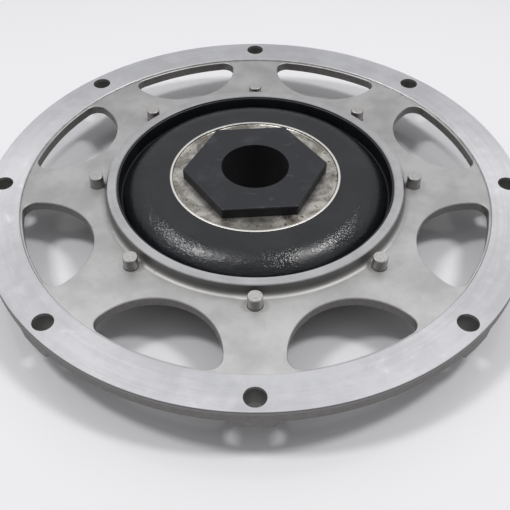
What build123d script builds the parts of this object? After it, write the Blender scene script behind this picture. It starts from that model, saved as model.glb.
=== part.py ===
from build123d import *
from math import radians, sin, sqrt
import os

# Rubber disc coupling on a size 11.5 flywheel flange. Millimetres, +Z up along the shaft.
# The origin is on the axis, in the plane of the lowest face, which is the foot of the hub.

os.makedirs("parts", exist_ok=True)

# ---- Flywheel flange: rim, bolts, lugs ----
flange_diameter = 352.42      # spigot of the size 11.5 housing
bolt_edge_distance = 9.52     # bolt centre to the outside of the flange
bolt_count = 8
bolt_hole = 12.7
face_height = 34.0            # the machined mounting face above the foot of the hub
rim_thickness = 9.3
face_width = 23.6             # radial width of the raised, turned mounting face
spigot_height = 2.4           # turned strip round the outside, under the mounting face
cast_step = 0.6               # the rough casting stands back this far below the strip
lug_depth = 15.0              # mounting face to the tip of a lug
lug_root_radius = 15.4        # where a lug leaves the rim
lug_tip_radius = 12.9
lug_round = 0.9
rim_chamfer = 0.4

# ---- Web, windows and lip ----
web_recess = 1.2              # mounting face down to the web
web_thickness = 6.3
rim_draft = 1.4               # the rim's inner shoulder slopes this far on the underside
window_count = 8
window_land = 13.7            # web left between the round inner side of a window and the lip
window_spoke = 34.0           # narrowest web between two windows
window_edge = 1.4             # web left between a window and the raised face
window_offset = 0.5           # the round's centre stands this far inside the window's outer edge
window_corner = 8.0
window_chamfer = 0.35         # deburred top edge
lip_bore = 180.6
lip_wall = 6.3
lip_height = 7.1              # above the mounting face
lip_root_fillet = 3.7
lip_chamfer = 0.5
barrel_depth = 20.0           # mounting face to the foot of the barrel
barrel_draft = 1.2
barrel_root_fillet = 5.0

# ---- Dowel pins ----
pin_count = 8
pin_diameter = 9.0
pin_gap = 3.3                 # between a pin and the outside of the lip
pin_height = 7.0              # above the mounting face
pin_chamfer = 0.35

# ---- Rubber disc ----
lining_top = 1.3              # the rubber stops this far below the top of the lip
lining_wall = 1.2             # rubber skin inside the lip
crevice_depth = 4.7           # bottom of the crevice inside the lip, below the mounting face
crevice_lean = 0.9            # the lining thickens this far down to the crevice
crevice_round = 0.6
crown_width = 9.7             # from the lip's bore in to where the crown's two slopes would meet
crown_round = 23.0            # the rubber's full, rounded crown
crown_drop = 0.7              # the rubber falls this far from the hub dish to its crown
dish_margin = 0.6             # the dish stands this far above the rubber round it
rubber_foot = 18.0            # below the mounting face, at the barrel
rubber_inner_foot = 12.0      # below the mounting face, at the dish
underside_round = 6.0

# ---- Hub dish and hexagon hub ----
dish_height = 9.4             # the dish's edge above the mounting face
dish_edge = 1.7               # width of the dish's thin raised edge
dish_depth = 1.3              # edge down to the floor of the dish
dish_floor = 6.0              # thickness
dish_skirt = 4.5              # wall of the skirt that the rubber grips
dish_skirt_depth = 11.0       # below the mounting face
dish_edge_chamfer = 0.4
dish_fillet = 0.8
hex_across_flats = 81.4
hex_clearance = 8.6           # from a corner of the hexagon out to the outside of the dish
hex_height = 7.0              # above the floor of the dish
hex_angle = 4.4               # turned from the line of the bolt holes
hex_corner = 1.6
hex_top_round = 1.1
hub_bore = 43.8
barrel_wall = 13.0            # hub barrel below the dish
hub_foot_chamfer = 1.0

# ---- Heights and radii that follow ----
rim_radius = flange_diameter / 2
bolt_circle_radius = rim_radius - bolt_edge_distance
face_inner_radius = rim_radius - face_width
web_top = face_height - web_recess
web_bottom = web_top - web_thickness
rim_bottom = face_height - rim_thickness
lug_tip = face_height - lug_depth
lip_top = face_height + lip_height
lip_inner_radius = lip_bore / 2
lip_outer_radius = lip_inner_radius + lip_wall
barrel_foot = face_height - barrel_depth
window_outer_radius = face_inner_radius - window_edge
window_centre = window_outer_radius - window_offset
half_pitch = 180 / window_count
window_radius = min(
    window_centre - lip_outer_radius - window_land,
    window_centre * sin(radians(half_pitch)) - window_spoke / 2,
)
pin_radius = pin_diameter / 2
pin_circle_radius = lip_outer_radius + pin_gap + pin_radius
crown_radius = lip_inner_radius - crown_width
dish_radius = hex_across_flats / sqrt(3) + hex_clearance
dish_top = face_height + dish_height
dish_floor_top = dish_top - dish_depth
hub_barrel_radius = hub_bore / 2 + barrel_wall
hex_top = dish_floor_top + hex_height
rubber_inner_top = dish_top - dish_margin

# ---- One window, drawn on the X axis: a round cut off by the raised face, with soft corners ----
with BuildSketch() as window:
    Circle(window_outer_radius)
    with Locations((window_centre, 0)):
        Circle(window_radius, mode=Mode.INTERSECT)
    fillet(window.vertices(), radius=window_corner)

# ---- Flange ring: one casting with a turned face, spigot and lip ----
with BuildPart() as flange_ring:
    with BuildSketch(Plane.XZ):
        with BuildLine():
            Polyline(
                (lip_inner_radius, lip_top),
                (lip_outer_radius, lip_top),
                (lip_outer_radius, web_top),
                (face_inner_radius, web_top),
                (face_inner_radius, face_height),
                (rim_radius, face_height),
                (rim_radius, rim_bottom),
                (face_inner_radius + rim_draft, rim_bottom),
                (face_inner_radius, web_bottom),
                (lip_outer_radius + barrel_draft, web_bottom),
                (lip_outer_radius, barrel_foot),
                (lip_inner_radius, barrel_foot),
                close=True,
            )
        make_face()
    revolve(axis=Axis.Z)

    # Round the roots of the lip and of the barrel, where each meets the web
    lip_root = flange_ring.edges().filter_by(GeomType.CIRCLE).filter_by_position(
        Axis.Z, web_top - 0.01, web_top + 0.01).sort_by(SortBy.RADIUS)[0]
    fillet(lip_root, radius=lip_root_fillet)
    barrel_root = flange_ring.edges().filter_by(GeomType.CIRCLE).filter_by_position(
        Axis.Z, web_bottom - 0.01, web_bottom + 0.01).sort_by(SortBy.RADIUS)[0]
    fillet(barrel_root, radius=barrel_root_fillet)

    # Lugs: drafted round bosses under the bolt holes, grown from the middle of the rim
    lug_slope = (lug_root_radius - lug_tip_radius) / (rim_bottom - lug_tip)
    lug_start = (rim_bottom + web_top) / 2
    lug_start_radius = lug_root_radius + lug_slope * (lug_start - rim_bottom)
    with Locations(Plane.XY.offset(lug_tip)):
        with PolarLocations(bolt_circle_radius, bolt_count):
            Cone(lug_tip_radius, lug_start_radius, lug_start - lug_tip,
                 align=(Align.CENTER, Align.CENTER, Align.MIN))

    # The casting's outside, just under the turned spigot, trims the lugs flush with the rim
    with BuildSketch(Plane.XY.offset(face_height - spigot_height)):
        Circle(rim_radius + lug_root_radius)
        Circle(rim_radius - cast_step, mode=Mode.SUBTRACT)
    extrude(amount=-lug_depth, mode=Mode.SUBTRACT)
    lug_tips = flange_ring.faces().filter_by_position(Axis.Z, lug_tip - 0.01, lug_tip + 0.01)
    fillet(lug_tips.edges(), radius=lug_round)

    # Windows through the web, half way between the bolt holes
    with BuildSketch(Plane.XY.offset(web_top)):
        with PolarLocations(0, window_count, start_angle=half_pitch):
            add(window.sketch)
    extrude(amount=-web_thickness, mode=Mode.SUBTRACT)

    # Bolt holes through the lugs, and the seats of the dowel pins in the web
    with Locations(Plane.XY.offset(face_height)):
        with PolarLocations(bolt_circle_radius, bolt_count):
            Hole(radius=bolt_hole / 2, depth=lug_depth)
        with PolarLocations(pin_circle_radius, pin_count):
            Hole(radius=pin_radius, depth=web_recess + web_thickness)

    # Broken edges: windows, spigot, raised face, both sides of the lip
    window_edges = flange_ring.edges().filter_by_position(
        Axis.Z, web_top - 0.01, web_top + 0.01).filter_by(lambda edge: not edge.is_closed)
    chamfer(window_edges, length=window_chamfer)
    top_edges = flange_ring.edges().filter_by(GeomType.CIRCLE).filter_by_position(
        Axis.Z, face_height - 0.01, face_height + 0.01).sort_by(SortBy.RADIUS)
    chamfer(top_edges[-2:], length=rim_chamfer)
    lip_edges = flange_ring.edges().filter_by(GeomType.CIRCLE).filter_by_position(
        Axis.Z, lip_top - 0.01, lip_top + 0.01)
    chamfer(lip_edges, length=lip_chamfer)
flange_ring.part.label = "flange_ring"
export_step(flange_ring.part, "parts/flange_ring.step")

# ---- Dowel pins, pressed through the web round the lip ----
for number in range(1, pin_count + 1):
    angle = (number - 1) * 360 / pin_count
    with BuildPart() as dowel_pin:
        with Locations(Plane.XY.offset(web_bottom)):
            with PolarLocations(pin_circle_radius, 1, start_angle=angle):
                Cylinder(pin_radius, face_height + pin_height - web_bottom,
                         align=(Align.CENTER, Align.CENTER, Align.MIN))
        chamfer(dowel_pin.edges().sort_by(Axis.Z)[-1], length=pin_chamfer)
    dowel_pin.part.label = f"dowel_pin_{number}"
    export_step(dowel_pin.part, f"parts/dowel_pin_{number}.step")

# ---- Rubber disc, bonded between the lip's bore and the hub dish ----
with BuildPart() as rubber_disc:
    lining_radius = lip_inner_radius - lining_wall
    with BuildSketch(Plane.XZ):
        with BuildLine():
            top = FilletPolyline(
                (lip_inner_radius, lip_top - lining_top),
                (lining_radius, lip_top - lining_top),
                (lining_radius - crevice_lean, face_height - crevice_depth),
                (crown_radius, rubber_inner_top - crown_drop),
                (dish_radius, rubber_inner_top),
                radius=[lining_wall / 3, crevice_round, crown_round],
            )
            under = FilletPolyline(
                (dish_radius, rubber_inner_top),
                (dish_radius, face_height - rubber_inner_foot),
                (crown_radius, face_height - rubber_inner_foot),
                (lip_inner_radius, face_height - rubber_foot),
                (lip_inner_radius, lip_top - lining_top),
                radius=[lining_wall / 3, underside_round, lining_wall / 3],
            )
        make_face()
    revolve(axis=Axis.Z)
rubber_disc.part.label = "rubber_disc"
export_step(rubber_disc.part, "parts/rubber_disc.step")

# ---- Hub dish: turned steel plate with a thin raised edge and a skirt inside the rubber ----
with BuildPart() as hub_dish:
    dish_floor_bottom = dish_floor_top - dish_floor
    with BuildSketch(Plane.XZ):
        with BuildLine():
            FilletPolyline(
                (hub_barrel_radius, dish_floor_top),
                (dish_radius - dish_edge, dish_floor_top),
                (dish_radius - dish_edge, dish_top),
                (dish_radius, dish_top),
                (dish_radius, face_height - dish_skirt_depth),
                (dish_radius - dish_skirt, face_height - dish_skirt_depth),
                (dish_radius - dish_skirt, dish_floor_bottom),
                (hub_barrel_radius, dish_floor_bottom),
                radius=[dish_fillet, dish_edge_chamfer, dish_edge_chamfer,
                        dish_edge_chamfer, dish_edge_chamfer, dish_fillet],
            )
            Line((hub_barrel_radius, dish_floor_bottom), (hub_barrel_radius, dish_floor_top))
        make_face()
    revolve(axis=Axis.Z)
hub_dish.part.label = "hub_dish"
export_step(hub_dish.part, "parts/hub_dish.step")

# ---- Hexagon hub: hexagon head seated on the dish, barrel below it, plain through bore ----
with BuildPart() as hex_hub:
    with BuildSketch():
        Circle(hub_barrel_radius)
    extrude(amount=dish_floor_top)
    chamfer(hex_hub.edges().sort_by(Axis.Z)[0], length=hub_foot_chamfer)
    with BuildSketch(Plane.XY.offset(dish_floor_top)) as head:
        RegularPolygon(hex_across_flats / 2, 6, major_radius=False, rotation=hex_angle)
        fillet(head.vertices(), radius=hex_corner)
    extrude(amount=hex_height)
    fillet(hex_hub.faces().sort_by(Axis.Z)[-1].edges(), radius=hex_top_round)
    with Locations(Plane.XY.offset(hex_top)):
        Hole(radius=hub_bore / 2)
hex_hub.part.label = "hex_hub"
export_step(hex_hub.part, "parts/hex_hub.step")
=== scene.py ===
import math

import bmesh
import bpy
from mathutils import Matrix, Vector


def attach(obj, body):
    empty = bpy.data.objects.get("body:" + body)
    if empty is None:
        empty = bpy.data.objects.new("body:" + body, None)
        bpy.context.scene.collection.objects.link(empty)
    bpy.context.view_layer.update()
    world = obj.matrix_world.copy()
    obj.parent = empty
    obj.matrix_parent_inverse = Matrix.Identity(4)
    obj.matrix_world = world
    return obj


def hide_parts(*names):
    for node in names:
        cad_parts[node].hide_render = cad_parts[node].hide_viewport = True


# Flexible disc coupling: flywheel flange, dowel pins, rubber disc, hub dish and hexagon hub.
# Metres throughout, shaft axis on Z, hub foot on the floor.

print("loading the packed coupling")
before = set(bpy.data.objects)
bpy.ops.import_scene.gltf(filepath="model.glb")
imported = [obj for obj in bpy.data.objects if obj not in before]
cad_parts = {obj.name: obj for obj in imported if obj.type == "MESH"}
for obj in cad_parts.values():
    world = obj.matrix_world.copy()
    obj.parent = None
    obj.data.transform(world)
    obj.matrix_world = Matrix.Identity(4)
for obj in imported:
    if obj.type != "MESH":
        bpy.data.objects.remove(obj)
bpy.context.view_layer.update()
scene = bpy.context.scene


# One output socket of a node; sums and products of it add the Math nodes they need
class Wire:
    def __init__(self, graph, socket):
        self.graph = graph
        self.socket = socket

    def maths(self, operation, *values, clamp=False):
        settings = {"operation": operation, "use_clamp": clamp}
        return self.graph.node("ShaderNodeMath", settings, dict(enumerate(values)))

    def __add__(self, other):
        return self.maths("ADD", self, other)

    def __radd__(self, other):
        return self.maths("ADD", other, self)

    def __sub__(self, other):
        return self.maths("SUBTRACT", self, other)

    def __rsub__(self, other):
        return self.maths("SUBTRACT", other, self)

    def __mul__(self, other):
        return self.maths("MULTIPLY", self, other)

    def __truediv__(self, other):
        return self.maths("DIVIDE", self, other)

    def __pow__(self, other):
        return self.maths("POWER", self, other)

    def clamp(self):
        return self.maths("ADD", self, 0.0, clamp=True)

    # 0 below low, 1 above high, eased in between; low may be the larger of the two
    def rise(self, low, high):
        settings = {"interpolation_type": "SMOOTHSTEP", "clamp": True}
        ends = {1: low, 2: high, 3: 0.0, 4: 1.0} if low < high else {1: high, 2: low, 3: 1.0, 4: 0.0}
        return self.graph.node("ShaderNodeMapRange", settings, {0: self, **ends})

    # 1 between low and high, fading over soft on both sides
    def between(self, low, high, soft):
        return self.rise(low - soft, low) * self.rise(high + soft, high)


# A node tree of either kind, with one method that adds any node
class Graph:
    def __init__(self, tree):
        self.tree = tree

    def node(self, kind, settings=None, sockets=None, out=0):
        made = self.tree.nodes.new(kind)
        for key, value in (settings or {}).items():
            setattr(made, key, value)
        for key, value in (sockets or {}).items():
            port = made.inputs[key]
            for one in value if isinstance(value, list) else [value]:
                if isinstance(one, Wire):
                    self.tree.links.new(one.socket, port)
                else:
                    port.default_value = one
        return Wire(self, made.outputs[out]) if len(made.outputs) else made

    def output(self, wire, name):
        return Wire(self, wire.socket.node.outputs[name])


# A finish: a material with a Principled shader, object coordinates and the patterns metal and rubber need
class Finish(Graph):
    def __init__(self, name, look):
        self.material = bpy.data.materials.new(name)
        self.material.use_nodes = True
        Graph.__init__(self, self.material.node_tree)
        self.shader = self.tree.nodes["Principled BSDF"]
        for socket, value in look.items():
            self.shader.inputs[socket].default_value = value
        self.place = self.node("ShaderNodeTexCoord", out=3)
        parts = self.node("ShaderNodeSeparateXYZ", None, {0: self.place})
        self.x, self.y, self.z = parts, self.output(parts, "Y"), self.output(parts, "Z")
        self.radius = (self.x * self.x + self.y * self.y) ** 0.5

    def vector(self, x, y, z):
        return self.node("ShaderNodeCombineXYZ", None, {0: x, 1: y, 2: z})

    def scaled(self, vector, amounts):
        return self.node("ShaderNodeVectorMath", {"operation": "MULTIPLY"}, {0: vector, 1: amounts})

    def noise(self, vector, scale, detail=3.0, rough=0.55, warp=0.0):
        shape = {"Scale": scale, "Detail": detail, "Roughness": rough, "Distortion": warp}
        return self.node("ShaderNodeTexNoise", None, {"Vector": vector, **shape})

    def cells(self, vector, scale, feature="F1", out=0):
        sockets = {"Vector": vector, "Scale": scale}
        return self.node("ShaderNodeTexVoronoi", {"feature": feature}, sockets, out)

    def mix(self, factor, first, second):
        settings = {"data_type": "RGBA", "blend_type": "MIX"}
        return self.node("ShaderNodeMix", settings, {0: factor, 6: first, 7: second}, 2)

    # lathe marks: fine rings that wander a little on their way round
    def rings(self, perMetre, wander=3.0, detail=2.0):
        across = self.vector(self.radius * perMetre, self.x * wander, self.y * wander)
        return self.noise(across, 1.0, detail, 0.6)

    # a bump over an earlier one, as a normal
    def bump(self, height, strength, distance, under=None):
        sockets = {"Strength": strength, "Distance": distance, "Height": height}
        if under is not None:
            sockets["Normal"] = under
        return self.node("ShaderNodeBump", None, sockets)

    def finish(self, **wires):
        for name, wire in wires.items():
            self.tree.links.new(wire.socket, self.shader.inputs[name.replace("_", " ")])
        return self.material


turnedLook = {
    "tone": (0.63, 0.625, 0.64, 1.0),
    "brightTone": (0.74, 0.735, 0.75, 1.0),
    "spigotShadeTone": (0.2, 0.197, 0.195, 1.0),
    "roughness": 0.3,
    "roughnessSpread": 0.14,
    "grain": 0.7,
    "ringsPerMetre": 2600.0,
    "ringHeight": 0.00001,
    "spigotRadius": 0.1760,     # outside this the turned metal is the dull spigot, darkened as painted shade
}
lipLook = {
    "tone": (0.5, 0.495, 0.5, 1.0),
    "brightTone": (0.62, 0.615, 0.62, 1.0),
    "spigotShadeTone": (0.5, 0.495, 0.5, 1.0),
    "roughness": 0.16,
    "roughnessSpread": 0.08,
    "grain": 0.35,
    "ringsPerMetre": 3200.0,
    "ringHeight": 0.000006,
    "spigotRadius": 0.1760,
}
latheMarks = {
    "broadening": 9,
    "broadWander": 14.0,
    "stainsPerMetre": 24.0,
    "smearsPerMetre": 85.0,
    "edgeFade": 0.0001,
}


def turnedAluminium(name, look):
    fin = Finish(name, {"Metallic": 1.0, "Anisotropic": look["grain"]})
    fine = fin.rings(look["ringsPerMetre"])
    broad = fin.rings(look["ringsPerMetre"] / latheMarks["broadening"], wander=latheMarks["broadWander"])
    stain = fin.noise(fin.place, latheMarks["stainsPerMetre"], 5.0, 0.6)
    smear = fin.noise(fin.scaled(fin.place, (latheMarks["smearsPerMetre"],) * 3), 1.0, 5.0, 0.7, 0.6)
    tone = (broad * 0.25 + stain * 0.45 + smear * 0.3).rise(0.38, 0.62)
    colour = fin.mix(tone, look["tone"], look["brightTone"])
    fade = latheMarks["edgeFade"]
    # painted shade: the spigot side round the rim is darkened
    spigotShade = fin.radius.rise(look["spigotRadius"] - fade, look["spigotRadius"] + fade)
    colour = fin.mix(spigotShade, colour, look["spigotShadeTone"])
    scuff = smear.rise(0.56, 0.74)
    roughness = look["roughness"] + (fine - 0.5) * look["roughnessSpread"] + scuff * 0.08 + spigotShade * 0.08
    normal = fin.bump(fine, 0.6, look["ringHeight"])
    normal = fin.bump(scuff, 0.1, 0.00003, normal)
    return fin.finish(Base_Color=colour, Roughness=roughness, Normal=normal)


castLook = {
    "tone": (0.4, 0.395, 0.39, 1.0),
    "paleTone": (0.49, 0.485, 0.48, 1.0),
    "stainTone": (0.3, 0.29, 0.28, 1.0),
    "skinAndShadeTone": (0.17, 0.165, 0.155, 1.0),     # raw casting round the outside and underneath, darkened further as painted shade
    "cornerShadeTone": (0.2, 0.195, 0.19, 1.0),     # painted shade where the lip rises from the web
    "roughness": 0.5,
    "grainPerMetre": 1500.0,
    "grainHeight": 0.00005,
    "webTop": 0.0328,
    "lipRadius": 0.0966,
    "cornerReach": 0.0052,
    "cornerHeights": (0.031, 0.0318),
    "skinDepths": (0.0006, 0.0012),             # below the web top, where the raw skin and its painted shade start and are full
    "pitsPerMetre": 520.0,
    "cloudsPerMetre": 30.0,
    "stainsPerMetre": 80.0,
    "sandPerMetre": 340.0,
}


def castAluminium():
    look = castLook
    fin = Finish("cast_aluminium_web", {"Metallic": 1.0})
    grain = fin.noise(fin.place, look["grainPerMetre"], 4.0, 0.62)
    pits = fin.cells(fin.place, look["pitsPerMetre"]).rise(0.32, 0.08)
    cloud = fin.noise(fin.place, look["cloudsPerMetre"], 5.0, 0.6)
    stain = fin.noise(fin.place, look["stainsPerMetre"], 6.0, 0.65, 0.6).rise(0.58, 0.78)
    colour = fin.mix(cloud.rise(0.34, 0.66), look["tone"], look["paleTone"])
    colour = fin.mix(stain * 0.5, colour, look["stainTone"])
    shallow, deep = look["skinDepths"]
    # below the web top the colour darkens: raw casting skin, partly painted shade
    skin = fin.z.rise(look["webTop"] - shallow, look["webTop"] - deep)
    sandy = fin.noise(fin.place, look["sandPerMetre"], 5.0, 0.7)
    colour = fin.mix(skin * (0.75 + (sandy - 0.5) * 0.6), colour, look["skinAndShadeTone"])
    # painted shade: the web is darkened in the corner where the lip rises from it
    cornerShade = fin.radius.rise(look["lipRadius"] + look["cornerReach"], look["lipRadius"])
    cornerShade = cornerShade * fin.z.rise(*look["cornerHeights"])
    colour = fin.mix(cornerShade * 0.85, colour, look["cornerShadeTone"])
    roughness = look["roughness"] + (cloud - 0.5) * 0.16 + stain * 0.1 + skin * 0.12 + cornerShade * 0.1
    normal = fin.bump(grain, 0.5, look["grainHeight"])
    normal = fin.bump(sandy * skin, 0.5, 0.0002, normal)
    normal = fin.bump(pits, 0.12, 0.00006, normal)
    return fin.finish(Base_Color=colour, Roughness=roughness, Normal=normal)


pinLook = {
    "tone": (0.4, 0.39, 0.375, 1.0),
    "paleTone": (0.58, 0.57, 0.555, 1.0),
    "sideShadeTone": (0.16, 0.157, 0.15, 1.0),
    "endHeight": 0.0407,        # above this is the end of a pin; below it the side is darkened as painted shade
    "endFade": 0.0003,
    "mottlePerMetre": 900.0,
    "bandStretch": (300.0, 300.0, 5200.0),
    "roughness": 0.44,
}


def pinSteel():
    look = pinLook
    fin = Finish("ground_pin_steel", {"Metallic": 1.0})
    mottle = fin.noise(fin.place, look["mottlePerMetre"], 4.0, 0.65)
    band = fin.noise(fin.scaled(fin.place, look["bandStretch"]), 1.0, 2.0)
    colour = fin.mix(mottle.rise(0.3, 0.7), look["tone"], look["paleTone"])
    # painted shade: the pin sides below the end are darkened
    sideShade = fin.z.rise(look["endHeight"], look["endHeight"] - look["endFade"])
    colour = fin.mix(sideShade * (0.8 - band * 0.3), colour, look["sideShadeTone"])
    roughness = look["roughness"] + (mottle - 0.5) * 0.3
    normal = fin.bump(mottle * 0.6 + band * 0.4, 0.35, 0.00003)
    return fin.finish(Base_Color=colour, Roughness=roughness, Normal=normal)


rubberLook = {
    "tone": (0.0035, 0.0038, 0.0052, 1.0),
    "dustTone": (0.01, 0.0108, 0.0132, 1.0),
    "roughness": 0.36,
    "glossRoughness": 0.12,
    "crownInner": 0.0725,
    "crownOuter": 0.0815,
    "crownFade": 0.007,
    "patchesPerMetre": 30.0,
    "flowAcross": 160.0,
    "flowAlong": 60.0,
    "skinPerMetre": 520.0,
    "pebbleStretch": (520.0, 820.0, 700.0),
}


def blackRubber():
    look = rubberLook
    fin = Finish("moulded_rubber", {"Metallic": 0.0, "IOR": 1.5})
    patch = fin.noise(fin.place, look["patchesPerMetre"], 5.0, 0.6, 0.5)
    crown = fin.radius.between(look["crownInner"], look["crownOuter"], look["crownFade"])
    glossy = (patch.rise(0.4, 0.6) * crown).clamp()
    along = look["flowAlong"]
    flow = fin.vector(fin.radius * look["flowAcross"], fin.x * along, fin.y * along)
    flow = fin.noise(flow, 1.0, 4.0, 0.6, 0.6)
    skin = fin.noise(fin.place, look["skinPerMetre"], 4.0, 0.6)
    pebble = fin.noise(fin.scaled(fin.place, look["pebbleStretch"]), 1.0, 3.0, 0.6, 0.4)
    colour = fin.mix(patch.rise(0.35, 0.75), look["tone"], look["dustTone"])
    polish = look["roughness"] - look["glossRoughness"]
    roughness = look["roughness"] - glossy * polish + (skin - 0.5) * 0.12
    normal = fin.bump(flow, 0.3, 0.0004)
    normal = fin.bump(pebble * (glossy * 0.8 + 0.1), 0.7, 0.0006, normal)
    normal = fin.bump(skin, 0.3, 0.00012, normal)
    return fin.finish(Base_Color=colour, Roughness=roughness, Normal=normal)


dishLook = {
    "tone": (0.2, 0.19, 0.172, 1.0),
    "paleTone": (0.52, 0.5, 0.465, 1.0),
    "residueTone": (0.085, 0.067, 0.048, 1.0),
    "edgeHighlightTone": (0.75, 0.735, 0.7, 1.0),
    "edgeRadius": 0.0541,
    "edgeFade": 0.0001,
    "residueInner": 0.049,
    "residueGap": 0.0008,
    "residueFade": 0.003,
    "residuePerMetre": 95.0,
    "cloudsPerMetre": 42.0,
    "ringsPerMetre": 2200.0,
    "roughness": 0.34,
}


def bareSteel():
    look = dishLook
    fin = Finish("bare_dish_steel", {"Metallic": 1.0, "Anisotropic": 0.3})
    fine = fin.rings(look["ringsPerMetre"])
    cloud = fin.noise(fin.place, look["cloudsPerMetre"], 5.0, 0.7, 1.4)
    edge = fin.radius.rise(look["edgeRadius"] - look["edgeFade"], look["edgeRadius"] + look["edgeFade"])
    residueOuter = look["edgeRadius"] - look["residueGap"]
    inner = fin.radius.between(look["residueInner"], residueOuter, look["residueFade"])
    residue = fin.noise(fin.place, look["residuePerMetre"], 6.0, 0.7, 1.2) + inner * 0.1
    residue = residue.rise(0.56, 0.76) * (1.0 - edge * 0.8)
    colour = fin.mix(cloud.rise(0.36, 0.62), look["tone"], look["paleTone"])
    # painted highlight: a thin bright line along the dish's outer edge
    colour = fin.mix(edge, colour, look["edgeHighlightTone"])
    colour = fin.mix(residue * 0.85, colour, look["residueTone"])
    roughness = look["roughness"] + (fine - 0.5) * 0.12 + cloud * 0.14 + residue * 0.2
    metal = 1.0 - residue * 0.7
    normal = fin.bump(fine, 0.4, 0.00002)
    normal = fin.bump(residue, 0.35, 0.0001, normal)
    return fin.finish(Base_Color=colour, Roughness=roughness, Metallic=metal, Normal=normal)


scrapLook = {
    "tone": (0.03, 0.024, 0.018, 1.0),
    "paleTone": (0.16, 0.135, 0.105, 1.0),
    "roughness": 0.55,
    "crumbsPerMetre": 700.0,
    "patchesPerMetre": 120.0,
}


def tornRubber():
    look = scrapLook
    fin = Finish("torn_rubber", {"Metallic": 0.0, "IOR": 1.5})
    crumb = fin.noise(fin.place, look["crumbsPerMetre"], 4.0, 0.7)
    patch = fin.noise(fin.place, look["patchesPerMetre"], 3.0)
    colour = fin.mix(patch.rise(0.4, 0.62), look["tone"], look["paleTone"])
    roughness = look["roughness"] + (crumb - 0.5) * 0.3
    return fin.finish(Base_Color=colour, Roughness=roughness, Normal=fin.bump(crumb, 0.6, 0.0002))


hubLook = {
    "tone": (0.0095, 0.01, 0.0125, 1.0),
    "wornTone": (0.034, 0.036, 0.043, 1.0),
    "sideShadeTone": (0.0035, 0.0037, 0.005, 1.0),
    "topHeight": 0.0491,
    "topRound": 0.0011,
    "grainPerMetre": 900.0,
    "cloudsPerMetre": 60.0,
    "scratchStretch": (1300.0, 90.0, 90.0),
    "scuffStretch": (90.0, 240.0, 90.0),
    "roughness": 0.38,
}


def blackHub():
    look = hubLook
    fin = Finish("matt_black_hub", {"Metallic": 0.0, "IOR": 1.5, "Specular IOR Level": 0.42})
    grain = fin.noise(fin.place, look["grainPerMetre"], 4.0, 0.6)
    cloud = fin.noise(fin.place, look["cloudsPerMetre"], 5.0, 0.6)
    scratch = fin.noise(fin.scaled(fin.place, look["scratchStretch"]), 1.0, 3.0, 0.6).rise(0.66, 0.78)
    scuffs = fin.noise(fin.scaled(fin.place, look["scuffStretch"]), 1.0, 3.0, 0.6, 0.5)
    scuffs = scuffs.rise(0.62, 0.74)
    worn = cloud.rise(0.5, 0.75) * 0.5 + scratch * 0.4 + scuffs * 0.8
    colour = fin.mix(worn.clamp(), look["tone"], look["wornTone"])
    top, edge = look["topHeight"], look["topRound"]
    # painted shade: the hexagon's sides below its rounded top edge are darker, and rougher
    sideShade = fin.z.rise(top - edge * 0.8, top - edge * 1.2)
    colour = fin.mix(sideShade, colour, look["sideShadeTone"])
    roughness = look["roughness"] + (cloud - 0.5) * 0.14 + scratch * 0.1 + sideShade * 0.3
    normal = fin.bump(grain, 0.3, 0.00005)
    return fin.finish(Base_Color=colour, Roughness=roughness, Normal=normal)


print("mixing the finishes")
turned = turnedAluminium("turned_aluminium", turnedLook)
lipMetal = turnedAluminium("turned_lip", lipLook)
cast = castAluminium()
pinMetal = pinSteel()
rubber = blackRubber()
dishMetal = bareSteel()
hubBlack = blackHub()
scrapRubber = tornRubber()


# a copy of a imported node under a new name, on the one body
def copyOf(nodeName, pieceName):
    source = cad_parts[nodeName]
    mesh = source.data.copy()
    mesh.name = pieceName
    piece = bpy.data.objects.new(pieceName, mesh)
    scene.collection.objects.link(piece)
    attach(piece, "root")
    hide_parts(nodeName)
    return piece


flangeSizes = {
    "rimRadius": 0.17621,
    "faceInnerRadius": 0.15261,
    "lipOuterRadius": 0.0966,
    "lipInnerRadius": 0.0903,
    "spigotHeight": 0.0024,
    "faceHeight": 0.034,
    "lipTop": 0.0411,
    "faceDepth": 0.0008,        # how far below its top a turned surface still counts as turned
    "lipDepth": 0.0006,
    "slack": 0.00012,
}


def buildFlange():
    piece = copyOf("flange_ring", "flange")
    mesh = piece.data
    mesh.materials.clear()
    mesh.materials.append(cast)
    mesh.materials.append(turned)
    mesh.materials.append(lipMetal)
    size = flangeSizes
    slack = size["slack"]
    for face in mesh.polygons:
        middle = face.center
        radius = math.hypot(middle.x, middle.y)
        nearTop = middle.z > size["faceHeight"] - size["faceDepth"]
        aboveSpigot = middle.z > size["faceHeight"] - size["spigotHeight"] - slack
        onFace = radius > size["faceInnerRadius"] - slack and nearTop
        onSpigot = radius > size["rimRadius"] - size["faceDepth"] and aboveSpigot
        onLip = radius < size["lipOuterRadius"] + slack and middle.z > size["lipTop"] - size["lipDepth"]
        inBore = radius < size["lipInnerRadius"] + slack
        if onLip or inBore:
            face.material_index = 2
        elif onFace or onSpigot:
            face.material_index = 1


print("building the flange")
buildFlange()


# a node group with a named input for each size and one for the finish; a modifier sets them by identifier
def newTree(name, sizes, takesMesh=False):
    tree = bpy.data.node_groups.new(name, "GeometryNodeTree")
    tree.interface.new_socket("Geometry", in_out="OUTPUT", socket_type="NodeSocketGeometry")
    kinds = {"Geometry": "Geometry"} if takesMesh else {}
    kinds.update({label: "Int" if isinstance(size, int) else "Float" for label, size in sizes.items()})
    kinds["Finish"] = "Material"
    for label, kind in kinds.items():
        tree.interface.new_socket(label, in_out="INPUT", socket_type="NodeSocket" + kind)
    graph = Graph(tree)
    entry = tree.nodes.new("NodeGroupInput")
    return graph, {label: Wire(graph, entry.outputs[label]) for label in kinds}


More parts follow.
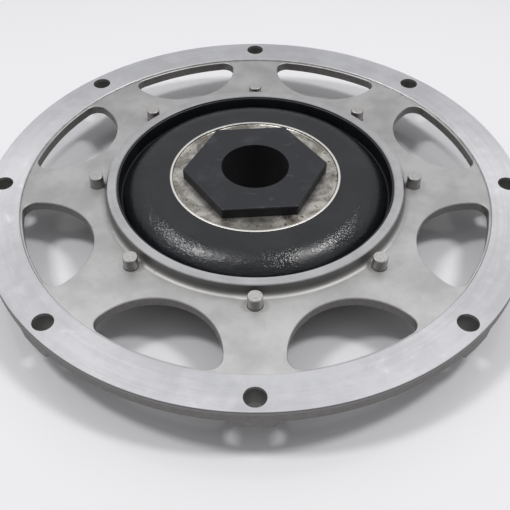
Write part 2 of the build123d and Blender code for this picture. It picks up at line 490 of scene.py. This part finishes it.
# a random number for each point; the seed is a wire, so that one input moves them all
def drawn(graph, low, high, seed):
    return graph.node("FunctionNodeRandomValue", {"data_type": "FLOAT"}, {2: low, 3: high, "Seed": seed}, 1)


# ends a tree: instances made real, then the finish set
def endTree(graph, geometry, finishInput):
    real = graph.node("GeometryNodeRealizeInstances", None, {0: geometry})
    sockets = {"Geometry": real, "Material": finishInput}
    painted = graph.node("GeometryNodeSetMaterial", None, sockets)
    leaving = graph.tree.nodes.new("NodeGroupOutput")
    graph.tree.links.new(painted.socket, leaving.inputs[0])


# runs a tree on a start mesh and keeps the result as a plain mesh, smooth but for its sharp edges
def grow(name, graph, values, start=None, sharpAngle=40.0):
    piece = bpy.data.objects.new(name, start or bpy.data.meshes.new(name))
    scene.collection.objects.link(piece)
    modifier = piece.modifiers.new(name, "NODES")
    modifier.node_group = graph.tree
    for item in graph.tree.interface.items_tree:
        if item.in_out == "INPUT" and item.name in values:
            modifier[item.identifier] = values[item.name]
    settled = piece.evaluated_get(bpy.context.evaluated_depsgraph_get())
    mesh = bpy.data.meshes.new_from_object(settled)
    mesh.name = name
    piece.modifiers.remove(modifier)
    piece.data = mesh
    mesh.shade_smooth()
    mesh.set_sharp_from_angle(angle=math.radians(sharpAngle))
    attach(piece, "root")
    return piece


def outward(mesh):
    work = bmesh.new()
    work.from_mesh(mesh)
    if work.calc_volume(signed=True) < 0:
        bmesh.ops.reverse_faces(work, faces=work.faces)
    work.to_mesh(mesh)
    work.free()


def lifted(graph, geometry, height):
    place = graph.node("ShaderNodeCombineXYZ", None, {2: height})
    return graph.node("GeometryNodeTransform", None, {"Geometry": geometry, "Translation": place})


pinSizes = {
    "Count": 8,
    "Circle radius": 0.1044,
    "Pin radius": 0.0045,
    "Foot height": 0.0265,
    "Top height": 0.041,
    "Edge": 0.00035,
    "Height spread": 0.0016,    # share of the height
    "Seed": 7,
}
pinSides = 48
fullTurn = 6.283


def buildPins():
    graph, given = newTree("dowel_pin_circle", pinSizes)
    radius, edge = given["Pin radius"], given["Edge"]
    low, high = given["Foot height"], given["Top height"]
    openEnds, disc = {"fill_type": "NONE"}, {"fill_type": "TRIANGLE_FAN"}
    body = graph.node("GeometryNodeMeshCone", openEnds, {
        "Vertices": pinSides, "Radius Top": radius, "Radius Bottom": radius, "Depth": high - edge - low})
    rim = graph.node("GeometryNodeMeshCone", openEnds, {
        "Vertices": pinSides, "Radius Top": radius - edge, "Radius Bottom": radius, "Depth": edge})
    end = graph.node("GeometryNodeMeshCircle", disc, {"Vertices": pinSides, "Radius": radius - edge})
    foot = graph.node("GeometryNodeMeshCircle", disc, {"Vertices": pinSides, "Radius": radius})
    foot = graph.node("GeometryNodeFlipFaces", None, {0: foot})
    heights = ((body, low), (rim, high - edge), (end, high), (foot, low))
    parts = [lifted(graph, part, height) for part, height in heights]
    pin = graph.node("GeometryNodeJoinGeometry", None, {0: parts})
    pin = graph.node("GeometryNodeMergeByDistance", None, {"Geometry": pin, "Distance": 0.000005})
    seats = graph.node("GeometryNodeMeshCircle", None, {
        "Vertices": given["Count"], "Radius": given["Circle radius"]})
    turn = drawn(graph, 0.0, fullTurn, given["Seed"])
    tall = drawn(graph, 1.0 - given["Height spread"], 1.0, given["Seed"] + 1)
    pins = graph.node("GeometryNodeInstanceOnPoints", None, {
        "Points": seats, "Instance": pin,
        "Rotation": graph.node("ShaderNodeCombineXYZ", None, {2: turn}),
        "Scale": graph.node("ShaderNodeCombineXYZ", None, {0: 1.0, 1: 1.0, 2: tall})})
    endTree(graph, pins, given["Finish"])
    piece = grow("dowel_pins", graph, {**pinSizes, "Finish": pinMetal}, sharpAngle=30.0)
    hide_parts(*[f"dowel_pin_{number}" for number in range(1, pinSizes["Count"] + 1)])


rubberSizes = {
    "Segments": 360,
    "Unevenness": 0.0003,       # how far the moulded skin wanders
    "Grain": 62.0,
    "Ripple": 0.00003,
    "Seed": 3.7,
}

# radius, height and rounding of each corner in millimetres, from the outer top by the crevice
# and the crown to the dish, and back below
rubberProfile = [
    (90.3, 39.8, 0.0), (89.1, 39.8, 0.4), (88.2, 29.3, 0.6), (80.6, 42.1, 23.0), (55.5965, 42.8, 0.0),
    (55.5965, 22.0, 0.4), (80.6, 22.0, 6.0), (90.3, 16.0, 0.4),
]


profileStep = 1.1
millimetre = 0.001


# corners of a closed outline rounded off; straight runs get points too, so that noise can bend them
def roundedOutline(corners, run):
    outline = []
    total = len(corners)
    for index, (x, y, rounding) in enumerate(corners):
        here = Vector((x, y))
        before = Vector(corners[index - 1][:2]) - here
        after = Vector(corners[(index + 1) % total][:2]) - here
        if rounding == 0.0:
            outline.append(here)
            continue
        half = before.angle(after) / 2
        reach = rounding / math.tan(half)
        middle = (before.normalized() + after.normalized()).normalized()
        centre = here + middle * (rounding / math.sin(half))
        first = here + before.normalized() * reach - centre
        turn = first.angle_signed(here + after.normalized() * reach - centre)
        steps = max(4, int(abs(turn) * rounding / run))
        for step in range(steps + 1):
            angle = turn * step / steps
            outline.append(centre + Matrix.Rotation(-angle, 2) @ first)
    filled = []
    for index, point in enumerate(outline):
        following = outline[(index + 1) % len(outline)]
        parts = max(1, int((following - point).length / run))
        filled += [point.lerp(following, part / parts) for part in range(parts)]
    return filled


def buildRubber():
    outline = roundedOutline(rubberProfile, profileStep)
    profile = bpy.data.meshes.new("rubber_profile")
    profile.from_pydata([(point.x * millimetre, 0.0, point.y * millimetre) for point in outline], [], [])
    sizes = {"Rows": len(outline), **rubberSizes}
    graph, given = newTree("rubber_lathe", sizes, takesMesh=True)
    rows, segments = given["Rows"], given["Segments"]
    sheet = graph.node("GeometryNodeMeshGrid", None, {"Vertices X": segments + 1, "Vertices Y": rows + 1})
    index = graph.node("GeometryNodeInputIndex")
    across = graph.node("ShaderNodeMath", {"operation": "FLOOR"}, {0: index / (rows + 1) + 0.00001})
    along = index - across * (rows + 1)
    wrapped = along.maths("MODULO", along + 0.25, rows)
    point = graph.node("GeometryNodeSampleIndex", {"data_type": "FLOAT_VECTOR", "domain": "POINT"}, {
        "Geometry": given["Geometry"], "Value": graph.node("GeometryNodeInputPosition"),
        "Index": graph.node("ShaderNodeMath", {"operation": "FLOOR"}, {0: wrapped})})
    split = graph.node("ShaderNodeSeparateXYZ", None, {0: point})
    angle = across * (2 * math.pi) / segments
    place = graph.node("ShaderNodeCombineXYZ", None, {
        0: split * angle.maths("COSINE", angle),
        1: split * angle.maths("SINE", angle),
        2: graph.output(split, "Z")})
    lathed = graph.node("GeometryNodeSetPosition", None, {"Geometry": sheet, "Position": place})
    lathed = graph.node("GeometryNodeMergeByDistance", None, {"Geometry": lathed, "Distance": 0.00001})

    # the free skin between dish and lining wanders; the bonded faces stay true
    spot = graph.node("GeometryNodeInputPosition")
    parts = graph.node("ShaderNodeSeparateXYZ", None, {0: spot})
    x, y, z = parts, graph.output(parts, "Y"), graph.output(parts, "Z")
    radius = (x * x + y * y) ** 0.5
    free = radius.rise(0.0562, 0.06) * radius.rise(0.0886, 0.0862) * z.rise(0.024, 0.03)
    shift = graph.node("ShaderNodeCombineXYZ", None, {axis: given["Seed"] for axis in range(3)})
    shifted = graph.node("ShaderNodeVectorMath", {"operation": "ADD"}, {0: spot, 1: shift})
    broad = graph.node("ShaderNodeTexNoise", None, {
        "Vector": shifted, "Scale": given["Grain"], "Detail": 3.0})
    fine = graph.node("ShaderNodeTexNoise", None, {
        "Vector": shifted, "Scale": given["Grain"] * 9.0, "Detail": 2.0})
    height = ((broad - 0.72) * given["Unevenness"] + (fine - 0.6) * given["Ripple"]) * free
    push = graph.node("ShaderNodeVectorMath", {"operation": "SCALE"}, {
        0: graph.node("GeometryNodeInputNormal"), "Scale": height})
    uneven = graph.node("GeometryNodeSetPosition", None, {"Geometry": lathed, "Offset": push})
    endTree(graph, uneven, given["Finish"])
    values = {**sizes, "Finish": rubber}
    piece = grow("rubber_disc_moulded", graph, values, start=profile, sharpAngle=50.0)
    outward(piece.data)
    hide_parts("rubber_disc")


scrapSizes = {
    "Count": 46,
    "Ring radius": 0.0512,
    "Ring spread": 0.0021,
    "Floor height": 0.04212,
    "Scrap size": 0.00115,
    "Scrap thickness": 0.00016,
    "Seed": 21,
}
bareShare = 0.35                # of the places round the ring, left without a scrap


def buildScraps():
    graph, given = newTree("rubber_scraps", scrapSizes)
    spread, size, seed = given["Ring spread"], given["Scrap size"], given["Seed"]
    seats = graph.node("GeometryNodeMeshCircle", None, {
        "Vertices": given["Count"], "Radius": given["Ring radius"]})
    aside = [drawn(graph, spread * -1.0, spread, seed + step) for step in (1, 2)]
    offset = graph.node("ShaderNodeCombineXYZ", None, {0: aside[0], 1: aside[1], 2: given["Floor height"]})
    seats = graph.node("GeometryNodeSetPosition", None, {"Geometry": seats, "Offset": offset})
    scrap = graph.node("GeometryNodeMeshIcoSphere", None, {"Radius": 1.0, "Subdivisions": 3})
    spot = graph.node("GeometryNodeInputPosition")
    ragged = graph.node("ShaderNodeTexNoise", None, {"Vector": spot, "Scale": 1.6, "Detail": 3.0})
    raggedness = ragged * 1.8 - 0.9
    pull = graph.node("ShaderNodeVectorMath", {"operation": "SCALE"}, {0: spot, "Scale": raggedness})
    scrap = graph.node("GeometryNodeSetPosition", None, {"Geometry": scrap, "Offset": pull})
    long, wide = [drawn(graph, size * 0.3, size * 1.5, seed + step) for step in (11, 12)]
    turn = drawn(graph, 0.0, fullTurn, seed + 31)
    keep = drawn(graph, 0.0, 1.0, seed + 5)
    chosen = graph.node("ShaderNodeMath", {"operation": "GREATER_THAN"}, {0: keep, 1: bareShare})
    scraps = graph.node("GeometryNodeInstanceOnPoints", None, {
        "Points": seats, "Selection": chosen, "Instance": scrap,
        "Rotation": graph.node("ShaderNodeCombineXYZ", None, {2: turn}),
        "Scale": graph.node("ShaderNodeCombineXYZ", None, {
            0: long, 1: wide * 0.6, 2: given["Scrap thickness"]})})
    endTree(graph, scraps, given["Finish"])
    piece = grow("rubber_scraps", graph, {**scrapSizes, "Finish": scrapRubber}, sharpAngle=60.0)


print("growing pins, rubber and scraps")
buildPins()
buildRubber()
buildScraps()

print("finishing the dish and the hub")
shownNodes = (("hub_dish", dishMetal, "bare_steel"), ("hex_hub", hubBlack, "black_hub"))
for nodeName, finish, slotName in shownNodes:
    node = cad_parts[nodeName]
    node.data.materials.clear()
    node.data.materials.append(finish)


studio = {
    "floorTone": (0.63, 0.62, 0.635, 1.0),
    "floorRoughness": 0.13,
    "worldLevel": 0.8,
    "worldFront": 0.2,          # level of the dim end of the room, behind the camera
    "floorReach": 6.0,
    "floorPaling": 1.03,
    "backWeight": 0.8,
    "heightWeight": 0.6,
    "farSpan": (-0.75, 0.65),
    "highSpan": (0.3, 0.72),
    "roomTint": (0.97, 0.98, 1.0, 1.0),
    "lamps": [
        # name, place, aimed at, width, height, watts
        ("left_softbox", (-0.7, 0.02, 1.45), (0.0, 0.0, 0.0), 0.22, 0.34, 11.0),
        ("right_softbox", (0.7, 0.02, 1.45), (0.0, 0.0, 0.0), 0.22, 0.34, 11.5),
    ],
}


def buildStudio():
    fin = Finish("floor_laminate", {"Metallic": 0.0, "IOR": 1.5})
    cloud = fin.noise(fin.place, 2.5, 3.0)
    paler = tuple(min(1.0, level * studio["floorPaling"]) for level in studio["floorTone"][:3]) + (1.0,)
    colour = fin.mix(cloud, studio["floorTone"], paler)
    roughness = studio["floorRoughness"] + (fin.noise(fin.place, 9.0, 4.0) - 0.5) * 0.05
    floorFinish = fin.finish(Base_Color=colour, Roughness=roughness)
    mesh = bpy.data.meshes.new("floor")
    reach = studio["floorReach"]
    corners = [(-reach, -reach, 0), (reach, -reach, 0), (reach, reach, 0), (-reach, reach, 0)]
    mesh.from_pydata(corners, [], [(0, 1, 2, 3)])
    mesh.materials.append(floorFinish)
    floor = bpy.data.objects.new("floor", mesh)
    scene.collection.objects.link(floor)

    world = bpy.data.worlds.new("studio_room")
    scene.world = world
    world.use_nodes = True
    room = Graph(world.node_tree)
    direction = room.node("ShaderNodeTexCoord", out=0)
    parts = room.node("ShaderNodeSeparateXYZ", None, {0: direction})
    back, height = room.output(parts, "Y"), room.output(parts, "Z")
    far = (back * studio["backWeight"] + height * studio["heightWeight"]).rise(*studio["farSpan"])
    high = height.rise(*studio["highSpan"]) * 0.5 + 0.5
    level = far * high * (1.0 - studio["worldFront"]) + studio["worldFront"]
    backing = world.node_tree.nodes["Background"]
    ends = {0: level, 6: (0.0, 0.0, 0.0, 1.0), 7: studio["roomTint"]}
    tint = room.node("ShaderNodeMix", {"data_type": "RGBA"}, ends, 2)
    world.node_tree.links.new(tint.socket, backing.inputs["Color"])
    backing.inputs["Strength"].default_value = studio["worldLevel"]

    for name, place, target, width, height, watts in studio["lamps"]:
        lamp = bpy.data.lights.new(name, "AREA")
        lamp.shape = "RECTANGLE"
        lamp.size = width
        lamp.size_y = height
        lamp.energy = watts
        holder = bpy.data.objects.new(name, lamp)
        holder.location = place
        holder.rotation_euler = (Vector(target) - Vector(place)).to_track_quat("-Z", "Y").to_euler()
        scene.collection.objects.link(holder)


cameraSetting = {
    "place": (-0.00059, -0.38599, 0.36376),
    "turn": (44.152, 0.207, 0.294),
    "lens": 53.96,
    "shift": 0.0109,
}


def buildCamera():
    camera = bpy.data.cameras.new("camera")
    camera.lens = cameraSetting["lens"]
    camera.sensor_width = 36.0
    camera.shift_x = cameraSetting["shift"]
    camera.clip_start = 0.01
    holder = bpy.data.objects.new("camera", camera)
    holder.location = cameraSetting["place"]
    holder.rotation_euler = [math.radians(angle) for angle in cameraSetting["turn"]]
    scene.collection.objects.link(holder)
    scene.camera = holder


print("setting up the studio")
buildStudio()
buildCamera()
scene.view_settings.view_transform = "Standard"

print("coupling ready")
